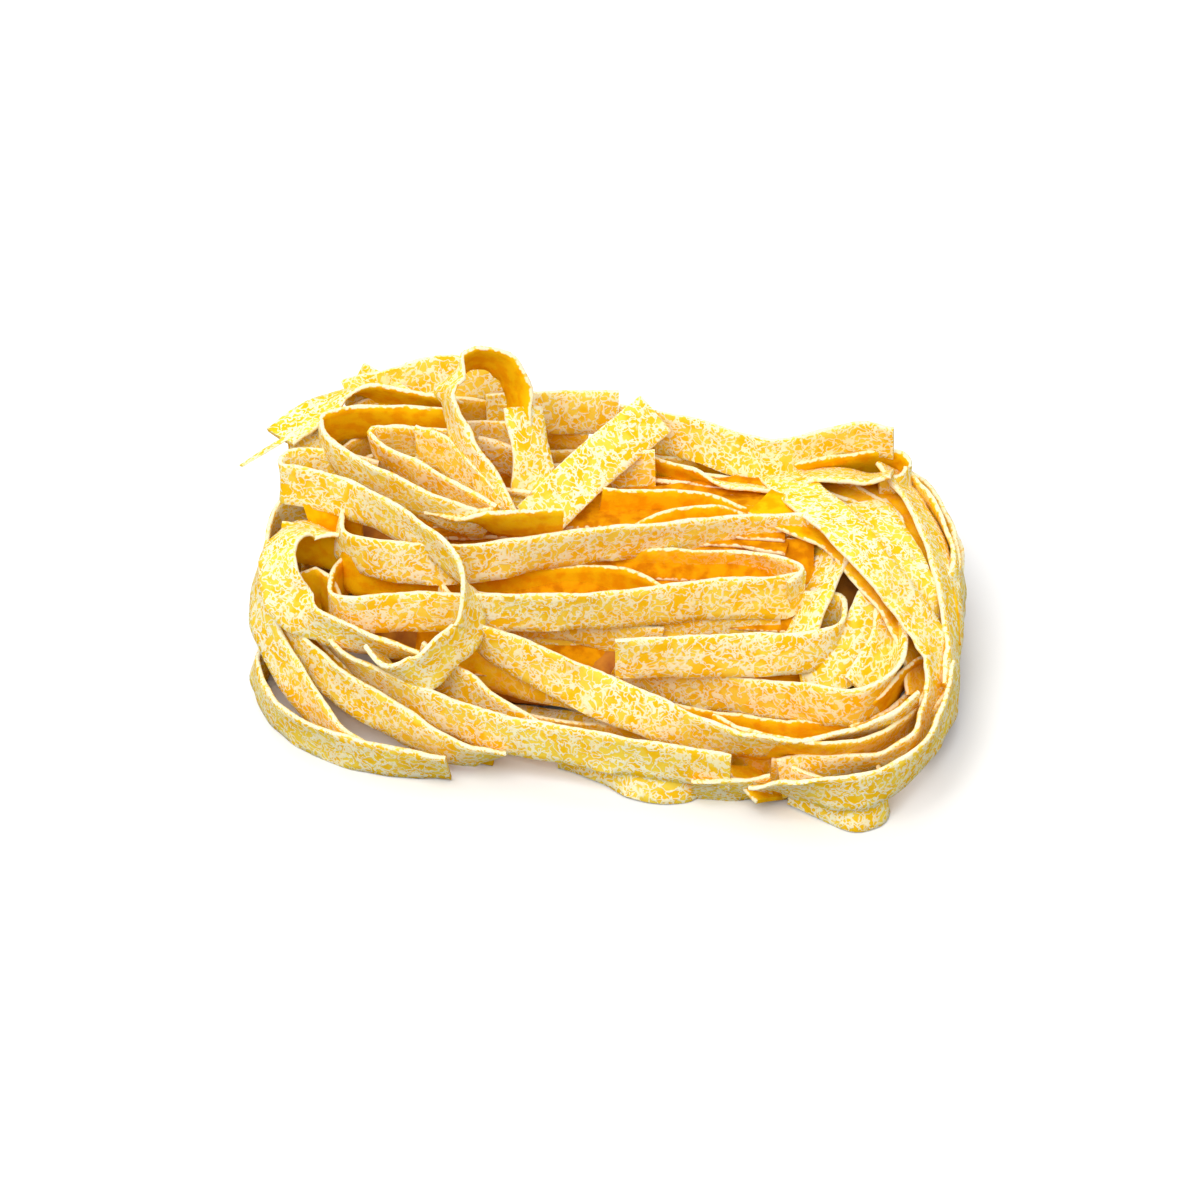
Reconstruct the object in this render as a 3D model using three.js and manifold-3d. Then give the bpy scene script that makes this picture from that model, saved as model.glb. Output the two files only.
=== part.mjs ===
// Dry pasta nest: one long tangle of flat egg-pasta ribbons, wound into an oblong heap and dried.
// Millimetres, +Z up, +X along the nest, the low open side of the nest towards -Y.
import * as THREE from "three";
import { mergeVertices } from "three/addons/utils/BufferGeometryUtils.js";
import Module from "manifold-3d";

// Driving sizes of a dried ribbon.
const RIBBON_WIDTH = 6.5;
const RIBBON_THICKNESS = 0.7;
const FRAY_WIDTH = 1.3;

// The heap: half length and half depth of its lowest loops, and how far a loop rises above the next.
const NEST_HALF_LENGTH = 46;
const NEST_HALF_DEPTH = 23.5;
const NEST_BACK_SHIFT = 5.5;
const LOOP_RISE = 5.2;
const RACETRACK_POWER = 2.7;

// A ribbon that stands on edge on the table has its centre line at this height.
const ON_EDGE = RIBBON_WIDTH / 2;

// Bends sharper than these get an extra step along the ribbon.
const BEND_PER_STEP = THREE.MathUtils.degToRad(32);
const TWIST_PER_STEP = 35;
// Slivers smaller than this, where ribbons cut each other, are merged away.
const JOIN_TOLERANCE = 0.02;

const UPRIGHT = new THREE.Vector3(0, 0, 1);
const BACKWARD = new THREE.Vector3(0, 1, 0);

const wasm = await Module();
wasm.setup();

/** A repeatable draw between 0 and 1. */
function draw(seed) {
  const value = Math.sin(seed * 12.9898) * 43758.5453;
  return value - Math.floor(value);
}

/** A repeatable draw between -0.5 and 0.5. */
function jitter(seed) {
  return draw(seed) - 0.5;
}

/** Point at an angle on the rounded oblong that the loops of the nest follow. */
function racetrack(degrees, halfLength, halfDepth) {
  const angle = THREE.MathUtils.degToRad(degrees);
  const power = 2 / RACETRACK_POWER;
  const x = halfLength * Math.sign(Math.cos(angle)) * Math.abs(Math.cos(angle)) ** power;
  const y = halfDepth * Math.sign(Math.sin(angle)) * Math.abs(Math.sin(angle)) ** power;
  return [x, y];
}

/** Closed solid from a list of rings with the same number of corners, capped at both ends. */
function loft(rings) {
  const sides = rings[0].length;
  const positions = rings.flat().flatMap((corner) => corner.toArray());
  const indices = [];
  for (let ring = 0; ring < rings.length - 1; ring++) {
    for (let side = 0; side < sides; side++) {
      const a = ring * sides + side;
      const b = ring * sides + ((side + 1) % sides);
      indices.push(a, b, b + sides, a, b + sides, a + sides);
    }
  }
  const last = (rings.length - 1) * sides;
  for (let side = 1; side < sides - 1; side++) {
    indices.push(0, side + 1, side);
    indices.push(last, last + side, last + side + 1);
  }
  const geometry = new THREE.BufferGeometry();
  geometry.setAttribute("position", new THREE.Float32BufferAttribute(positions, 3));
  geometry.setIndex(indices);
  return geometry;
}

/** How many steps the stretch between two keys of a route needs. */
function stepsBetween(curve, keys, index) {
  const span = keys.length - 1;
  const bend = curve.getTangent(index / span).angleTo(curve.getTangent((index + 1) / span));
  const twist = Math.abs(keys[index + 1][3] - keys[index][3]);
  return 1 + Math.floor(Math.max(bend / BEND_PER_STEP, twist / TWIST_PER_STEP));
}

/** Corners of the ribbon's section at one place of its route. */
function ribbonSection(curve, u, lean, up, width) {
  const centre = curve.getPoint(u);
  const along = curve.getTangent(u);
  const rise = up.clone().addScaledVector(along, -up.dot(along)).normalize();
  const aside = along.clone().cross(rise);
  const angle = THREE.MathUtils.degToRad(lean);
  const across = rise.multiplyScalar(Math.cos(angle)).addScaledVector(aside, Math.sin(angle));
  const through = along.clone().cross(across).multiplyScalar(RIBBON_THICKNESS / 2);
  across.multiplyScalar(width / 2);
  return [[-1, -1], [1, -1], [1, 1], [-1, 1]].map(([w, t]) =>
    centre.clone().addScaledVector(across, w).addScaledVector(through, t));
}

/**
 * One ribbon along a route. A key is [x, y, z, lean]: a point of the centre line, and how far the
 * upper edge leans to the right of the direction of travel, in degrees.
 */
function ribbon(keys, { up = UPRIGHT, width = RIBBON_WIDTH } = {}) {
  const points = keys.map(([x, y, z]) => new THREE.Vector3(x, y, z));
  const curve = new THREE.CatmullRomCurve3(points, false, "centripetal");
  const span = keys.length - 1;
  const rings = [];
  for (let index = 0; index < span; index++) {
    const steps = stepsBetween(curve, keys, index);
    for (let step = index === 0 ? 0 : 1; step <= steps; step++) {
      const s = step / steps;
      const ease = s * s * (3 - 2 * s);
      const lean = THREE.MathUtils.lerp(keys[index][3], keys[index + 1][3], ease);
      rings.push(ribbonSection(curve, (index + s) / span, lean, up, width));
    }
  }
  return loft(rings);
}

/** Loops and loose ends low at the left end, open enough to see the table between them. */
function leftEndRibbons() {
  return [
    ribbon([[-43.5, 18.5, 4.5, -10], [-46.5, 5, 3.4, -20], [-46.5, 0.5, 3.3, -5], [-44.5, -5.5, 3.3, 5],
      [-40.5, -10.5, 3.3, 10], [-31, -16, 3.3, 10], [-20, -18.5, 3.3, 25]]),
    ribbon([[-33.5, 13.5, 23, -5], [-38, 13.8, 23.2, -5], [-43, 13, 21, -15], [-45.5, 9, 17, -20],
      [-46, 4, 13.5, -20], [-44, -1, 10.5, -15], [-40.5, -6, 7.3, -10], [-37.2, -9.8, 4.9, 0],
      [-34.5, -12.7, 3.2, 8], [-30.5, -15.3, 1.8, 12]]),
    ribbon([[-41, 11.5, 15, -20], [-44, 7, 13.5, -20], [-43.5, 1.5, 11.8, -15], [-39.5, -3.5, 10.5, 0],
      [-34, -9, 9, -3], [-28, -12.5, 7.2, 0], [-21, -16.3, 5, 12], [-16.5, -17.2, 4.2, 33],
      [-13.5, -16.3, 3.6, 45]]),
    ribbon([[-41, 4, 9.5, 0], [-37, -1.5, 7.5, 0], [-31.5, -7, 5.5, 0], [-24, -11, 4, 0],
      [-14, -14, ON_EDGE, 0]]),
    ribbon([[-35.2, 7.2, 22.3, -50], [-39.2, 7.2, 23.4, -75], [-41.7, 5, 23.8, -62], [-42.8, 3, 23, -55],
      [-42.8, 0.3, 22.3, -48], [-42, -1.8, 20.2, -42], [-40.3, -3, 17.8, -28], [-37, -5, 16.5, 10],
      [-23.5, -9, 14.5, 40]]),
    ribbon([[-43, 9, 20.2, 0], [-39, 8.5, 19.7, 0], [-35, 7.5, 19, 0], [-31, 6, 18, 0]]),
    ribbon([[-39.5, 3, 14.2, 0], [-37.4, 3, 17, 5], [-35.6, 1, 15.5, 0], [-34.5, -2.5, 13.5, 0]]),
    ribbon([[-39, 10.2, 22.3, 0], [-36, 9.6, 23, 0], [-32, 9, 23.2, 0]]),
  ];
}

/** The broad ribbon that comes round the left shoulder and curls under itself. */
function curlRibbon() {
  return ribbon([[-30.5, 15, 26, 0], [-36.5, 15, 27.5, 0], [-41, 14, 28.3, 0], [-42.5, 11, 28.5, 0],
    [-39.5, 10.5, 28, 0], [-34, 8, 27.9, -2], [-28, 4, 27.8, 5], [-22.5, -0.5, 27, 10],
    [-19.5, -3.5, 26, 10], [-17, -7, 23, 35], [-17.5, -9.5, 19, 5], [-20, -11.3, 17.6, 0],
    [-23.5, -12.5, 14.6, -5], [-27.5, -11.3, 14, -40], [-29.8, -8.5, 14.8, -40]]);
}

/** Long ribbons along the low front, from the left end to the cut end near the middle right. */
function frontRibbons() {
  return [
    ribbon([[-38, -0.5, 13, 10], [-34.5, -5, 11.5, 25], [-30.5, -8, 10, 10], [-20, -14, 8.6, 0],
      [-12.5, -17, 7.8, 0], [-5, -18.5, 7.4, 0], [17, -23.5, 6.8, 5]]),
    ribbon([[-5.5, -14.5, 3.3, 0], [-0.5, -16.5, 3.3, -8], [4.5, -20, 3.3, -15], [9.5, -21.1, 3.2, -15],
      [12, -20.2, 3.2, -15], [12.5, -17, 3.5, -10], [9.5, -14.5, 4, 0]]),
    ribbon([[-21.5, 0, 17, 0], [-16.5, -6, 15.5, 15], [-10, -9, 14, -5], [0, -14, 12, -20],
      [7.4, -17.3, 10.8, -12], [13, -19.5, 10, 8], [19.5, -21, 9.6, 25], [26, -21, 9.6, 40],
      [37.5, -18, 10.5, 30], [41.5, -15, 11.5, 20]]),
    ribbon([[-19, -4, 10.7, 0], [-13.7, -6.3, 9.5, 0], [-7.2, -9.5, 10.2, 0], [-2.4, -11.8, 10.9, 0],
      [2.6, -14, 10.4, 0], [8, -16.5, 9.2, 5]]),
    ribbon([[-24, -5.5, 11.5, 0], [-20.3, -8.5, 10.4, 0], [-17, -10.5, 9.5, 0], [-13.7, -13, 8.3, 5],
      [-8, -15.5, 6, 10]]),
    ribbon([[12, -22, 3, 30], [18.5, -22.3, 3, 28], [22.5, -22.3, 3.4, 22]]),
    ribbon([[18.5, -17.5, 2.6, 60], [20.8, -20.7, 2, 65], [22.6, -22.9, 1.7, 65]]),
  ];
}

/** Nearly straight runs through the middle, with tight turns at their ends. */
function middleRibbons() {
  return [
    ribbon([[-33.5, 11, 23, -5], [-35, 7, 22.8, -10], [-33.5, 3.5, 22.8, 8], [-30.2, 1.3, 23, 0],
      [-24, 0.2, 23, -6], [-16.4, 0, 23.3, 0], [-8, 1.2, 24, 8], [0, 3, 24.1, 10], [8, 4.8, 23.6, 12],
      [18.5, 7, 23.1, 12], [27, 8, 22.4, 10], [32, 8.5, 21.4, 10]]),
    ribbon([[0, 5, 18.6, 0], [7, 4.8, 18.9, 8], [13.3, 4.3, 19.2, 8], [19.3, 4, 19.3, 8],
      [23.2, 2.5, 19.9, 10], [26.8, -1, 20.1, 0], [25, -3, 19.6, -4]]),
    ribbon([[-35, 6, 19.5, 0], [-33, 3, 19, 0], [-20, 2.4, 18.2, 0], [-8, 2.6, 17.4, 0],
      [-0.5, 2.3, 17.8, 0], [3.2, 1.5, 18.2, 5], [6.1, 0.3, 18.1, 12], [9, -1, 17.7, 20],
      [13, -2.3, 16.5, 25]]),
    ribbon([[-31, 9, 17, 0], [-34.5, 4.5, 17.4, 0], [-35.8, -1, 17.7, 0], [-34.8, -3.8, 18, 5],
      [-32.5, -5.2, 18.6, 5], [-26.5, -5.5, 19.2, 0], [0, -5, 19.2, 5], [17, -3, 19.6, -5],
      [24.5, -2.5, 19.6, -10], [27, -1, 19.6, 0]]),
    ribbon([[2, -10.5, 15.5, 0], [19.5, -10, 15.6, -10], [27, -9.5, 15.6, -5], [31.5, -7, 15.6, 0],
      [32, -2, 16, 0], [28, -1.5, 16.2, 0], [22, -1.2, 16.4, 0], [13, -1, 16.4, 0]]),
    ribbon([[-17.5, -2, 17, 0], [-9.8, -3.5, 16.7, 0], [-5.2, -3.5, 16.4, 0], [-0.7, -3.6, 14.9, 0],
      [3.5, -3.8, 13, 0], [8, -3.8, 12.2, 0]]),
    ribbon([[-21.5, -1.5, 14, 0], [-8, -3, 14, 0], [10, -3, 14, 0], [24, -3, 14.2, 0]]),
    ribbon([[33, 7, 21.5, -60], [30, 2, 20, -60], [27.3, -3, 17, -60], [26, -6, 15, -60]]),
    ribbon([[29.5, 7, 20.5, -55], [28, 2, 18.5, -55], [26.5, -2, 16.5, -55]]),
  ];
}

/** Bands that turn the lower right corner inside the outer ones. */
function rightInnerRibbons() {
  return [
    ribbon([[2.5, -6.5, 12, 0], [7.6, -8, 9.9, 0], [14.4, -9.3, 9, 0], [18.7, -10.2, 8.6, 0],
      [23.3, -11.8, 9.2, 0], [26.7, -13, 10, 0], [30, -14.5, 10.6, 0], [33.3, -15, 10.8, 3],
      [36, -14, 11.4, 8], [37.9, -12, 12.2, 15], [39, -9, 13, 20], [39, -6, 14, 22], [38.4, -3, 14.8, 25],
      [37.5, 0, 16, 25]]),
    ribbon([[3, -10, 6.2, 0], [7.6, -11, 5.6, 0], [14, -12, 4.6, 0], [18, -12, 4, 0], [25.7, -13.3, 3.8, 0],
      [32, -14.3, 5.5, 3], [36, -13.5, 8, 5], [38.7, -11, 10, 10], [40.7, -8, 10.3, 15],
      [42.3, -5.5, 9.5, 20], [43, -3, 9, 20]]),
    ribbon([[44.5, -6.5, 8.2, 0], [43.3, -10.5, 8.2, 0], [41.6, -14, 7.9, -5], [39, -17.3, 7.9, -11],
      [35.9, -20, 8.2, -15], [32.6, -21.5, 8.4, -18], [29.4, -21.8, 8.6, -25], [26.1, -21.5, 9, -28],
      [22.8, -20.8, 8.9, -25], [19, -19.3, 8.4, -15], [15, -17, 8.2, -5]]),
    ribbon([[43, -9.5, 4.5, 0], [41, -13.5, 4.3, 0], [38, -17, 3.8, -5], [34, -19.8, 3.4, -8],
      [28.5, -20.6, 3.3, -8], [22.5, -20, 3.3, -8]]),
    ribbon([[39, 4, 20, 48], [38, 0, 18.9, 48], [36.8, -2.5, 18.2, 48], [35.4, -5, 16.2, 48],
      [33, -8, 13.8, 45], [30, -9.5, 12.3, 35], [26.5, -9.3, 11.3, 20]]),
    ribbon([[38.8, -3, 16.5, 40], [37.8, -7, 14, 40], [36.3, -9.5, 12.6, 38], [34.5, -12, 11, 35]]),
  ];
}

/** Ribbons that fall over the right end, from the flat crossing ones on top to those at the table. */
function rightOuterRibbons() {
  return [
    ribbon([[24, 23.5, 21.5, 90], [27, 15, 24, 90], [32, 5, 25.5, 85], [37, -1, 23, 80],
      [39.5, -3, 20.6, 85], [41.5, -4.5, 18.3, 85], [43.5, -6.5, 15.8, 70], [44.5, -9, 13.3, 40],
      [44, -12.5, 11, 15], [42.5, -16.5, 9.4, 5], [40.5, -20, 8, -15], [36.5, -21, 6.6, -30],
      [23.5, -22, 4.6, 5]]),
    ribbon([[36, 15.5, 21.6, 85], [38.5, 9, 21.5, 80], [41.5, 2, 19.4, 75], [43, -4.5, 14.5, 60]]),
    ribbon([[40, 23.5, 21.3, 50], [44.3, 13, 19.8, 45], [46.8, 2, 15.8, 38], [47, -6, 11.4, 15],
      [46, -10.5, 9.3, 5]]),
    ribbon([[21.5, 12, 24.3, 90], [27.3, 8.5, 23.3, 88], [32.5, 6, 22, 85], [36.5, 0, 20.3, 75],
      [39, -2.5, 17.5, 70], [41, -4.8, 14, 60], [42.2, -7.2, 11, 50], [42.6, -9.5, 8.5, 45]]),
    ribbon([[14, 27, 16.5, 5], [30, 29, 18.5, 5], [39, 28, 19, 10], [44.5, 21, 17.5, 10],
      [48.5, 10.5, 14.8, 15], [48, 6, 14, 15], [44.5, 2.5, 13, 15]]),
    ribbon([[20, 30, 12, 5], [36, 31.5, 14, 5], [45, 27, 14.5, 10], [49, 12.5, 13.3, 10],
      [48.5, 7.5, 12.8, 10], [45, 4.5, 12.3, 10]]),
    ribbon([[32, 32, 9, 5], [45, 29, 11, 5], [49, 19, 11, 5], [49, 8, 10.3, 5], [47, 2.5, 10, 5],
      [43.5, -1, 9.5, 5]]),
    ribbon([[48, 15, 7, 5], [47.5, -6.5, 7, 5], [45.5, -12, 7, 5], [42, -16.5, 6.5, 0]]),
    ribbon([[47, -7.5, 9.5, 5], [46, -13, 9.5, 5], [41.5, -23, 8.6, -10], [35.5, -27.2, 7.4, -5],
      [30.5, -27.3, 6.7, -10], [25, -25.6, 5.8, -33], [20.5, -24, 4.8, -55]]),
    ribbon([[25, -22, 3.5, 0], [31, -25.4, 3.2, -12], [33.5, -26.6, 3.2, -15], [36, -25.7, 3.2, -15],
      [37.2, -23.7, 3.3, -10], [36.5, -21.5, 3.3, 0]]),
    ribbon([[28, 19.5, 20.3, 85], [34, 19.5, 20.6, 88], [40, 15.5, 20, 88], [44.5, 3, 16.5, 75],
      [45.5, -4, 13, 60]]),
  ];
}

/** Hairpins, crossings and the pointed end that pile up on the left shoulder. */
function leftShoulderRibbons() {
  return [
    ribbon([[-19.5, 20, 31.2, -10], [-34.5, 19.5, 32, -15], [-37.4, 17.5, 31.5, 0], [-35, 12.5, 31, 12],
      [-26, 6, 30.1, 12], [-21.5, 3.8, 29, 18], [-17.5, 3.8, 27.2, 25], [-14.5, 5.4, 26, 20]]),
    ribbon([[-22, 6.5, 26.5, 52], [-18, 4.6, 26.9, 50], [-13.5, 3.4, 27.2, 28], [-9.2, 3, 27.2, 17],
      [-4.9, 3, 27.1, 12]]),
    ribbon([[-19, 17.5, 29.5, -10], [-28.5, 18, 30, -15], [-30.5, 16.5, 30, 10], [-28.5, 14.5, 29.5, 20],
      [-24, 11, 29, 10], [-13.5, 5, 27, 20]]),
    ribbon([[-24.5, 16.5, 30.5, 0], [-20.5, 13.8, 30.7, 0], [-18, 11, 29.8, 0], [-14.5, 7, 28, 0]]),
    ribbon([[-19.5, 22.5, 31.6, -25], [-22, 22.5, 32.6, -28], [-25.5, 22.5, 33.4, -26],
      [-30, 24, 33.6, -30], [-34.5, 24.5, 33.5, -60], [-38.5, 21.3, 32.5, -80], [-43, 17.5, 31, -80]]),
    ribbon([[-33.5, 28, 32.5, -35], [-25, 22, 31, -30]]),
    ribbon([[-34, 27.5, 30, -10], [-29.5, 26, 32.5, -10], [-20.5, 27.5, 34, -15], [-13, 27.5, 31, 0]]),
    ribbon([[-42, 17.5, 29.5, -30], [-37.5, 18.5, 29.5, -35]]),
    ribbon([[-8, 22.5, 27, 20], [-13, 21, 28, 0], [-21.5, 20.5, 28.5, 0]]),
    ribbon([[-41.5, 17.5, 31.5, -70], [-44.5, 15, 31, -70], [-48, 12.5, 30, -60]], { width: FRAY_WIDTH }),
    ribbon([[-16.5, 16, 29.5, 10], [-12, 15, 29, 15], [-7, 14, 28.5, 15]]),
    ribbon([[-16, 9.5, 27, 15], [-12.5, 9.3, 26.6, 20], [-9.5, 9, 26.2, 20]]),
  ];
}

/** The tall loop that stands up out of the heap, and the leg that it runs down into. */
function standingLoopRibbons() {
  return [
    ribbon([[-12.6, 5.2, 26.5, 58], [-13.7, 5.6, 28.5, 58], [-15.3, 8, 31, 57], [-18.3, 11.5, 34.5, 48],
      [-19.7, 14, 37.2, 32], [-20.3, 16, 39.4, 18], [-19.5, 18.5, 40.4, -15], [-17.9, 20.5, 41.5, -50],
      [-16, 21, 41.7, -60], [-13.3, 20.5, 41, -65], [-11.4, 19.5, 38.7, -45], [-11, 18.5, 36, -30],
      [-11, 17, 32.5, -30]], { up: BACKWARD }),
    ribbon([[-10.3, 17, 36.4, 62], [-9.6, 14.6, 34.1, 60], [-8.9, 12, 31.4, 60], [-8.8, 9.5, 28.2, 66],
      [-9.2, 8, 25.5, 66]]),
  ];
}

/** The wavy ribbon along the back rim, what hangs under it, and the cut ends beside it. */
function backRimRibbons() {
  return [
    ribbon([[2.5, 27.5, 26, -5], [13.5, 24.5, 25.5, -10], [19, 22, 25, -15], [24, 21, 25, -5],
      [28, 22, 25.5, 10], [35.5, 23.5, 26.5, 10], [40, 22.5, 26.5, 15]]),
    ribbon([[5.5, 24, 21, 10], [12, 21, 21.3, 15], [19, 18.7, 22.2, 60], [24, 19, 21.7, 67],
      [28.7, 19.5, 23.2, 67], [33.3, 19.5, 23.2, 67], [36.7, 19, 23, 65], [39.8, 19, 24, 60]]),
    ribbon([[5.5, 30, 18, 20], [12, 26.8, 19.2, 20], [20.5, 22.5, 20.3, 20], [38.5, 24.5, 21.6, 20],
      [41.5, 24, 21.2, 15], [42.5, 22.5, 20.3, 10], [41, 20, 20, 0], [38, 19, 20, 0]]),
    ribbon([[-1, 18.5, 24.3, -5], [7.5, 19, 24.5, -5]]),
    ribbon([[0, 12, 23.7, 5], [5.3, 12.5, 23, 5], [12, 13, 22.3, 5], [15.4, 13, 21.3, 5],
      [19.7, 12.5, 19.8, 5], [24, 12, 18.5, 5]]),
    ribbon([[4, 9, 18.8, 5], [8.7, 9.5, 21.4, 5], [13.6, 9.5, 22.5, 5], [17, 10, 21.4, 5],
      [20.5, 10, 20, 5]]),
    ribbon([[7.5, 24.5, 30, 50], [-2, 13.5, 28, 50], [-9, 4.8, 25.8, 50]]),
    ribbon([[-15.5, 25.5, 29, -10], [-11.5, 26, 29, -10], [2.5, 27, 28.5, -10]]),
  ];
}

/** Loops round the back of the heap, each level a little smaller than the one below. */
function backWallRibbons() {
  const levels = 5;
  const keysPerLoop = 7;
  const ribbons = [];
  for (let level = 0; level < levels; level++) {
    const seed = 1 + 31 * level;
    const inset = 0.35 * level ** 2;
    const from = (level === levels - 1 ? 100 : -15) + 18 * draw(seed);
    const to = 185 - 9 * level - 18 * draw(seed + 1);
    const keys = [];
    for (let key = 0; key < keysPerLoop; key++) {
      const u = key / (keysPerLoop - 1);
      const angle = THREE.MathUtils.lerp(from, to, u);
      const [x, y] = racetrack(angle, NEST_HALF_LENGTH - inset, NEST_HALF_DEPTH - inset);
      const slope = 4 * jitter(seed + 2) * (u - 0.5);
      const z = ON_EDGE + LOOP_RISE * level + slope + jitter(seed + 3 + key);
      const lean = -4 * level + 16 * jitter(seed + 19 + key);
      keys.push([x, y + NEST_BACK_SHIFT + jitter(seed + 11 + key), Math.max(z, ON_EDGE), lean]);
    }
    ribbons.push(ribbon(keys));
  }
  return ribbons;
}

/** What the left shoulder rests on behind: short loops round the back left corner. */
function shoulderBackRibbons() {
  return [
    ribbon([[-2, 27, 22, -10], [-14, 28.5, 24, -10], [-28, 27.5, 25, -15], [-36, 23.5, 25.5, -15],
      [-40, 18.5, 25, -15]]),
    ribbon([[-8, 26, 27, -10], [-22, 27, 28.5, -10], [-32, 25.5, 29, -15], [-38, 20, 28.5, -20]]),
    ribbon([[-12, 22.5, 26, -5], [-22, 23.5, 26.5, -5], [-30, 23, 26, -5], [-36, 18, 25, 0]]),
  ];
}

/** Runs on edge near the table, set back under the overhanging front and the right end. */
function setBackRibbons() {
  return [
    ribbon([[-24, -7, ON_EDGE, 0], [-8, -11.5, ON_EDGE, 0], [8, -14.5, ON_EDGE, 0],
      [24, -16.5, ON_EDGE, 0], [34, -15.5, ON_EDGE, 0], [40, -9, ON_EDGE, 0]]),
    ribbon([[43.5, 15, 6.5, 0], [44, 4, 6.5, 0], [43, -4.5, 6, 0], [39.5, -11.5, 5.5, 0],
      [33, -15.5, 5, 0]]),
  ];
}

/** Runs nearly flat on the table under the heap. */
function underRibbons() {
  const rows = 5;
  const rowGap = 8;
  const keysPerRun = 5;
  const ribbons = [];
  for (let row = 0; row < rows; row++) {
    const seed = 400 + 31 * row;
    const start = -24 - 4 * draw(seed);
    const end = 33 + 4 * draw(seed + 1);
    const keys = [];
    for (let key = 0; key < keysPerRun; key++) {
      const u = key / (keysPerRun - 1);
      const x = THREE.MathUtils.lerp(start, end, u);
      const y = -6 + rowGap * row - 8 * u + 5 * jitter(seed + 2 + key);
      keys.push([x, y, 1.2 + 1.4 * draw(seed + 9 + key), 90 + 16 * jitter(seed + 16 + key)]);
    }
    ribbons.push(ribbon(keys));
  }
  return ribbons;
}

/** The packed inside of the heap: a rounded mound below and behind the ribbons that show. */
function heapCore() {
  const sides = 20;
  const turn = THREE.MathUtils.degToRad(-6);
  const levels = [
    { z: 0, x: 2, y: 8, halfLength: 33, halfDepth: 15 },
    { z: 7, x: 3, y: 9, halfLength: 38, halfDepth: 17.5 },
    { z: 14, x: 3, y: 11, halfLength: 38, halfDepth: 14.5 },
    { z: 19, x: 2, y: 13.5, halfLength: 36, halfDepth: 10.5 },
    { z: 22, x: 0, y: 14.5, halfLength: 28, halfDepth: 7 },
  ];
  return loft(levels.map(({ z, x, y, halfLength, halfDepth }) => {
    const ring = [];
    for (let side = 0; side < sides; side++) {
      const [dx, dy] = racetrack((360 * side) / sides, halfLength, halfDepth);
      ring.push(new THREE.Vector3(dx, dy, z).applyAxisAngle(UPRIGHT, turn).add(new THREE.Vector3(x, y, 0)));
    }
    return ring;
  }));
}

/** Slab under the table level, to trim what would reach below it. */
function belowTable() {
  const depth = 20;
  const slab = new THREE.BoxGeometry(4 * NEST_HALF_LENGTH, 4 * NEST_HALF_LENGTH, depth);
  slab.translate(0, 0, -depth / 2);
  return slab;
}

function toManifold(source) {
  const geometry = source.clone();
  geometry.deleteAttribute("normal");
  geometry.deleteAttribute("uv");
  const merged = mergeVertices(geometry, 1e-5);
  return new wasm.Manifold(new wasm.Mesh({
    numProp: 3,
    vertProperties: new Float32Array(merged.attributes.position.array),
    triVerts: new Uint32Array(merged.index.array),
  }));
}

function toGeometry(manifold) {
  const mesh = manifold.getMesh();
  const geometry = new THREE.BufferGeometry();
  geometry.setAttribute("position", new THREE.Float32BufferAttribute(mesh.vertProperties, 3));
  geometry.setIndex(Array.from(mesh.triVerts));
  geometry.computeVertexNormals();
  return geometry;
}

/** The largest body of the joined heap, without loose scraps and sealed hollows. */
function largestBody(manifold) {
  const bodies = manifold.decompose();
  return bodies.reduce((best, body) => (body.volume() > best.volume() ? body : best));
}

function nestGeometry() {
  const pieces = [
    heapCore(),
    ...leftEndRibbons(),
    curlRibbon(),
    ...frontRibbons(),
    ...middleRibbons(),
    ...rightInnerRibbons(),
    ...rightOuterRibbons(),
    ...leftShoulderRibbons(),
    ...standingLoopRibbons(),
    ...backRimRibbons(),
    ...backWallRibbons(),
    ...shoulderBackRibbons(),
    ...setBackRibbons(),
    ...underRibbons(),
  ];
  const joined = pieces.map(toManifold).reduce((heap, piece) => heap.add(piece));
  const heap = largestBody(joined.subtract(toManifold(belowTable())));
  const geometry = toGeometry(heap.asOriginal().simplify(JOIN_TOLERANCE));
  geometry.computeBoundingBox();
  const centre = geometry.boundingBox.getCenter(new THREE.Vector3());
  geometry.translate(-centre.x, -centre.y, -geometry.boundingBox.min.z);
  return geometry;
}

const driedPasta = new THREE.MeshStandardMaterial({ color: "#f3cd6b", roughness: 0.75, metalness: 0 });
driedPasta.name = "dried_pasta";

const nest = new THREE.Mesh(nestGeometry(), driedPasta);
nest.name = "pasta_nest";

const part = new THREE.Group();
part.name = "dry_pasta_nest";
part.add(nest);

export default part;
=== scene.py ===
"""Dressed model of a dry pasta nest: flat egg-pasta ribbons wound into an oblong heap."""
import math

import bpy
import numpy as np
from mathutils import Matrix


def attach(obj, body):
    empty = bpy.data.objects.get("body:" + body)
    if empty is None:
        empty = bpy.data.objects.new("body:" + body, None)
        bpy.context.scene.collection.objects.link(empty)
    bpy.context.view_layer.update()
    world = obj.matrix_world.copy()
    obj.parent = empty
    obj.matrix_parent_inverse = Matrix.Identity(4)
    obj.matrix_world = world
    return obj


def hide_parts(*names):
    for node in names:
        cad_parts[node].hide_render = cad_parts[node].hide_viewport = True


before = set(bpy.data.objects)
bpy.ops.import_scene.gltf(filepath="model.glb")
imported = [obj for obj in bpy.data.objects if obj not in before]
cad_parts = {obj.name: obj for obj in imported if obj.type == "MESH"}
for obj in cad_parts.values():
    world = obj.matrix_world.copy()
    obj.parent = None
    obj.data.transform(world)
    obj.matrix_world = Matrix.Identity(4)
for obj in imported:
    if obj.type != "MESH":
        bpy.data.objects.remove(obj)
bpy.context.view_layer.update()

# ---------------------------------------------------------------- camera, light and table
# A small studio table: pale matt top that runs out of sight, one broad soft lamp above the
# front and a little to the left, a weaker one behind, and even light from all round.
MM = 0.001
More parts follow.
